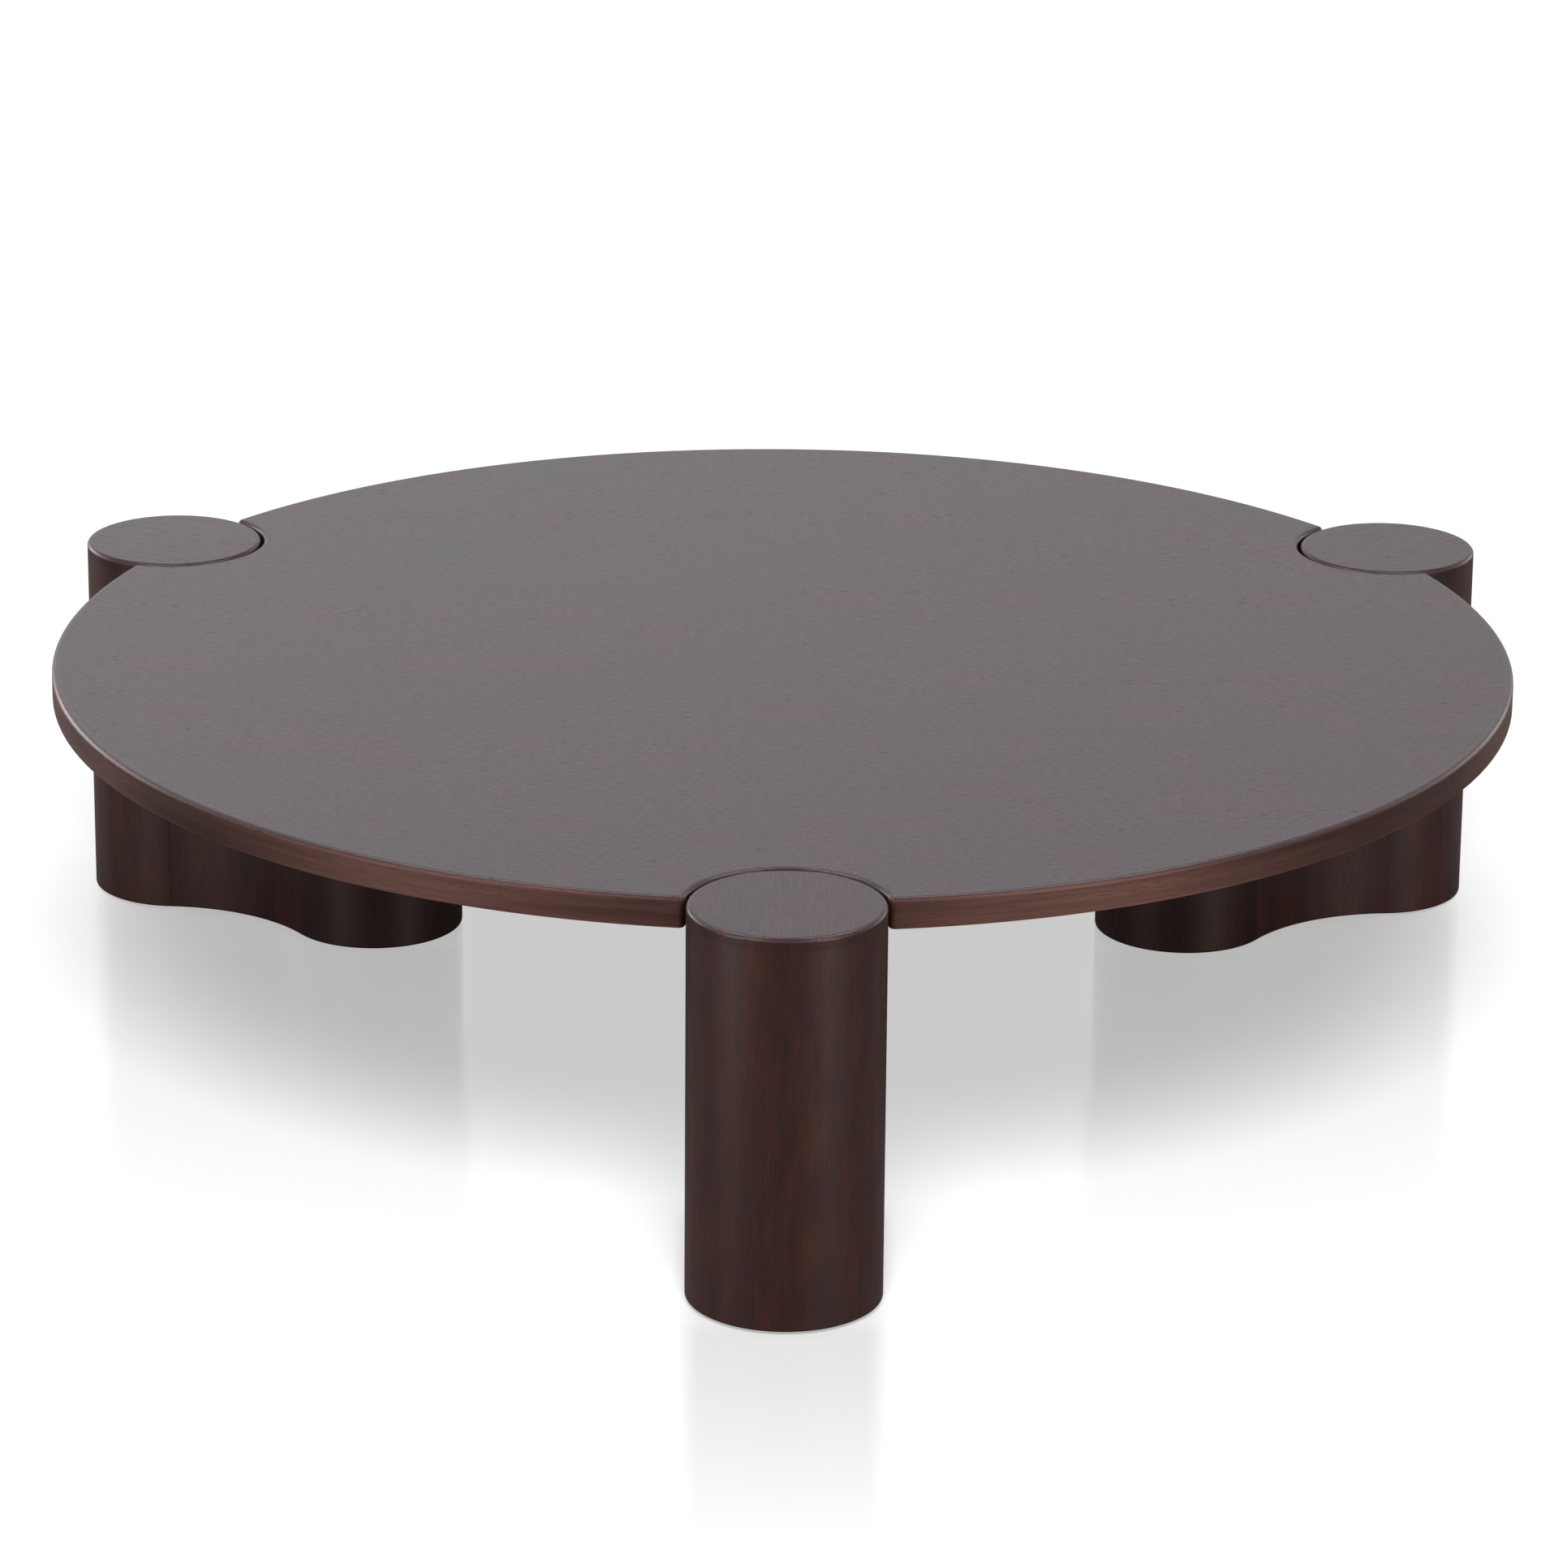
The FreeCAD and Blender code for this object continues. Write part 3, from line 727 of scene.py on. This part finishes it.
def bentPanelTree():
    # a profile with a rounded foot edge, run along an arc in plan
    tree, given, result = newGroup("bentPanel", "GeometryNodeTree", {
        "Centre": ("NodeSocketVector", None),
        "Shown Radius": ("NodeSocketFloat", 0.075),
        "Depth": ("NodeSocketFloat", 0.01),
        "Side": ("NodeSocketFloat", -1.0),
        "Start": ("NodeSocketFloat", 0.0),
        "Sweep": ("NodeSocketFloat", 1.0),
        "Low": ("NodeSocketFloat", 0.0),
        "High": ("NodeSocketFloat", 0.3),
        "Foot Round": ("NodeSocketFloat", 0.0015),
        "Foot Steps": ("NodeSocketInt", 4),
        "Steps": ("NodeSocketInt", 64),
        "Leg Turn": ("NodeSocketFloat", 0.0),
        "Leaf": ("NodeSocketFloat", 0.0),
        "Tone And Shade": ("NodeSocketFloat", 1.0),
        "Square Angle": ("NodeSocketFloat", 0.9),
        "Material": ("NodeSocketMaterial", None),
    }, {"Geometry": "NodeSocketGeometry"})

    def number(operation, first, second=0.0):
        return calc(tree, operation, first, second)

    def stored(geometry, name, value, domain, kind="FLOAT"):
        return put(tree, "GeometryNodeStoreNamedAttribute", {
            "Geometry": geometry, "Name": name, "Value": value}, data_type=kind, domain=domain).outputs[0]

    def recalled(name):
        return put(tree, "GeometryNodeInputNamedAttribute", {"Name": name}, data_type="FLOAT").outputs[0]

    def places():
        return split(tree, put(tree, "GeometryNodeInputPosition").outputs[0])

    arc = put(tree, "GeometryNodeCurveArc", {
        "Resolution": given["Steps"], "Radius": given["Shown Radius"],
        "Start Angle": given["Start"], "Sweep Angle": given["Sweep"]}, mode="RADIUS")
    length = put(tree, "GeometryNodeSplineParameter").outputs["Length"]
    measured = stored(arc.outputs["Curve"], "run", length, "POINT")

    # the profile lies in XY: X away from the arc's middle, and Y runs down the leg
    height = number("SUBTRACT", given["High"], given["Low"])
    box = put(tree, "GeometryNodeCurvePrimitiveQuadrilateral", {
        "Width": given["Depth"], "Height": height}, mode="RECTANGLE")
    spot = places()
    shownSide = number("LESS_THAN", number("MULTIPLY", spot[0], given["Side"]), 0.0)
    footCorner = number("MULTIPLY", shownSide, number("GREATER_THAN", spot[1], 0.0))
    rounded = put(tree, "GeometryNodeFilletCurve", {
        "Curve": box.outputs["Curve"], "Radius": number("MULTIPLY", footCorner, given["Foot Round"]),
        "Count": given["Foot Steps"]}, mode="POLY")
    halfDepth = number("DIVIDE", number("MULTIPLY", given["Depth"], given["Side"]), 2)
    placed = put(tree, "GeometryNodeTransform", {
        "Geometry": rounded.outputs["Curve"], "Translation": joined(tree, halfDepth)})

    panel = put(tree, "GeometryNodeCurveToMesh", {
        "Curve": measured, "Profile Curve": placed.outputs[0], "Fill Caps": True})
    middle = number("DIVIDE", number("ADD", given["High"], given["Low"]), 2)
    raised = put(tree, "GeometryNodeTransform", {
        "Geometry": panel.outputs[0], "Translation": moved(tree, given["Centre"], joined(tree, z=middle))})
    turned = put(tree, "GeometryNodeTransform", {
        "Geometry": raised.outputs[0], "Rotation": joined(tree, z=given["Leg Turn"])})

    # the upright edges at both ends of the run are marked, to be eased afterwards
    run = recalled("run")
    startReach = 0.00001       # metres of the run that count as its start
    endShare = 0.9995          # and the share of the whole run where its end begins
    whole = number("MULTIPLY", given["Shown Radius"], number("ABSOLUTE", given["Sweep"]))
    nearStart = number("LESS_THAN", run, startReach)
    nearEnd = number("GREATER_THAN", run, number("MULTIPLY", whole, endShare))
    marked = stored(turned.outputs[0], "bevel_weight_edge", number("MAXIMUM", nearStart, nearEnd), "EDGE")
    mapped = stored(marked, "UVMap", joined(tree, run, places()[2]), "CORNER", "FLOAT2")
    cut = stored(mapped, "leaf", given["Leaf"], "POINT")
    # each panel's tone, painted shade included, is kept on its points
    shaded = stored(cut, "tone", given["Tone And Shade"], "POINT")
    smooth = put(tree, "GeometryNodeSetShadeSmooth", {"Geometry": shaded, "Shade Smooth": True})
    # the square edges stay crisp, apart from the ones that are eased
    bend = put(tree, "GeometryNodeInputMeshEdgeAngle").outputs["Unsigned Angle"]
    crispness = number("SUBTRACT", bend, recalled("bevel_weight_edge"))
    square = number("GREATER_THAN", crispness, given["Square Angle"])
    crisp = put(tree, "GeometryNodeSetShadeSmooth", {
        "Geometry": smooth.outputs[0], "Selection": square, "Shade Smooth": False}, domain="EDGE")
    real = put(tree, "GeometryNodeRealizeInstances", {"Geometry": crisp.outputs[0]})
    finished = put(tree, "GeometryNodeSetMaterial", {
        "Geometry": real.outputs[0], "Material": given["Material"]})
    tree.links.new(finished.outputs[0], result["Geometry"])
    return tree


def builtBy(name, tree, values, finish=()):
    # runs the tree once and keeps its plain mesh; finish names modifiers that follow it
    blank = bpy.data.objects.new(name + "Blank", bpy.data.meshes.new(name + "Blank"))
    bpy.context.scene.collection.objects.link(blank)
    modifier = blank.modifiers.new("nodes", "NODES")
    modifier.node_group = tree
    for item in tree.interface.items_tree:
        if item.in_out == "INPUT" and item.name in values:
            modifier[item.identifier] = values[item.name]
    for kind, settings in finish:
        extra = blank.modifiers.new(kind, kind)
        for key, value in settings.items():
            setattr(extra, key, value)
    seen = blank.evaluated_get(bpy.context.evaluated_depsgraph_get())
    mesh = bpy.data.meshes.new_from_object(seen)
    mesh.name = name
    piece = bpy.data.objects.new(name, mesh)
    bpy.context.scene.collection.objects.link(piece)
    bpy.data.objects.remove(blank)
    return piece


def leafOf(leg, number):
    # each panel takes its own place in the veneer, so no two show the same figure
    return (list(legTurns).index(leg) * len(legLook["toneAndShade"]) + number) * legPanel["leafStep"]


def legPanels(material):
    low = table["legUnderside"]
    under = table["topUnderside"]
    postEdge = neck["postJoint"]
    lobeEdge = neck["lobeJoint"]
    neckStart = postEdge - math.pi
    neckEnd = lobeEdge - math.pi
    neckSweep = neckStart - neckEnd
    post = (table["postPlace"], 0, 0)
    lobe = (table["lobePlace"], 0, 0)
    leftNeck = (neck["place"], neck["offset"], 0)
    rightNeck = (neck["place"], -neck["offset"], 0)
    # middle of the bend, shown radius, side the thickness lies on, start, sweep, upper end
    shapes = {
        "post_panel": (post, table["postRadius"], -1, -postEdge, 2 * postEdge, table["capUnderside"]),
        "lobe_panel": (lobe, table["lobeRadius"], -1, lobeEdge, 2 * (math.pi - lobeEdge), under),
        "left_neck_cheek": (leftNeck, table["neckRadius"], 1, neckEnd, neckSweep, under),
        "right_neck_cheek": (rightNeck, table["neckRadius"], 1, -neckStart, neckSweep, under),
    }
    tree = bentPanelTree()
    finish = [
        ("BEVEL", {"limit_method": "WEIGHT", "width": legPanel["jointEase"],
                   "segments": legPanel["jointSteps"]}),
        ("WEIGHTED_NORMAL", {"weight": legPanel["normalWeight"], "keep_sharp": True}),
    ]
    for leg, turn in legTurns.items():
        for number, (shape, (centre, radius, side, start, sweep, high)) in enumerate(shapes.items()):
            node = "%s_leg_%s" % (leg, shape)
            steps = max(legPanel["fewestSteps"], round(abs(sweep) / legPanel["stepAngle"]))
            piece = builtBy(node + "_skin", tree, {
                "Centre": centre, "Shown Radius": radius, "Depth": legPanel["thickness"],
                "Side": float(side), "Start": start, "Sweep": sweep, "Low": low, "High": high,
                "Steps": steps, "Leg Turn": turn, "Foot Round": legPanel["footRound"],
                "Foot Steps": legPanel["footSteps"], "Square Angle": legPanel["squareAngle"],
                "Leaf": leafOf(leg, number), "Tone And Shade": legLook["toneAndShade"][shape],
                "Material": material}, finish)
            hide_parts(node)
            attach(piece, "root")


legPanels(legMaterial())
print("leg panels made")


def dressTop():
    face = topFaceMaterial()
    for name in ("top_face_veneer", "top_back_veneer"):
        dress(name, face)

    def fromRim(tree, apart):
        return apart[0], apart[1]

    def fromNotch(tree, apart):
        return apart[1], calc(tree, "MULTIPLY", apart[0], -1.0)

    rim = lippingMaterial("rimLipping", objectPlace, table["topRadius"], fromRim, "edge")
    for side in ("back", "front_left", "front_right"):
        dress("rim_lipping_" + side, rim)
    for leg, turn in legTurns.items():
        notch = lippingMaterial(leg + "NotchLipping", lambda tree: legPlace(tree, turn),
                                table["postRadius"], fromNotch, "face")
        dress("notch_lipping_" + leg, notch)


def dressHidden():
    board = plainMaterial("coreBoard")
    batten = plainMaterial("battenWood")
    steel = plainMaterial("zincSteel")
    dress("top_core", board)
    dress("felt_glides", plainMaterial("darkFelt"))
    dress("locating_dowels", batten)
    for name in ("leg_bolts", "bolt_washers", "threaded_inserts"):
        dress(name, steel)
    for leg in legTurns:
        for name in ("base_board", "middle_board", "deck_board", "post_head"):
            dress("%s_leg_%s" % (leg, name), board)
        dress(leg + "_leg_joint_battens", batten)


def dressCaps():
    for leg in legTurns:
        material = capMaterial(leg, leafOf(leg, 0), neck["postJoint"])
        dress(leg + "_leg_post_cap", material)
        dress(leg + "_leg_post_collar", material)


dressTop()
dressCaps()
dressHidden()
print("top, caps and inner pieces dressed")
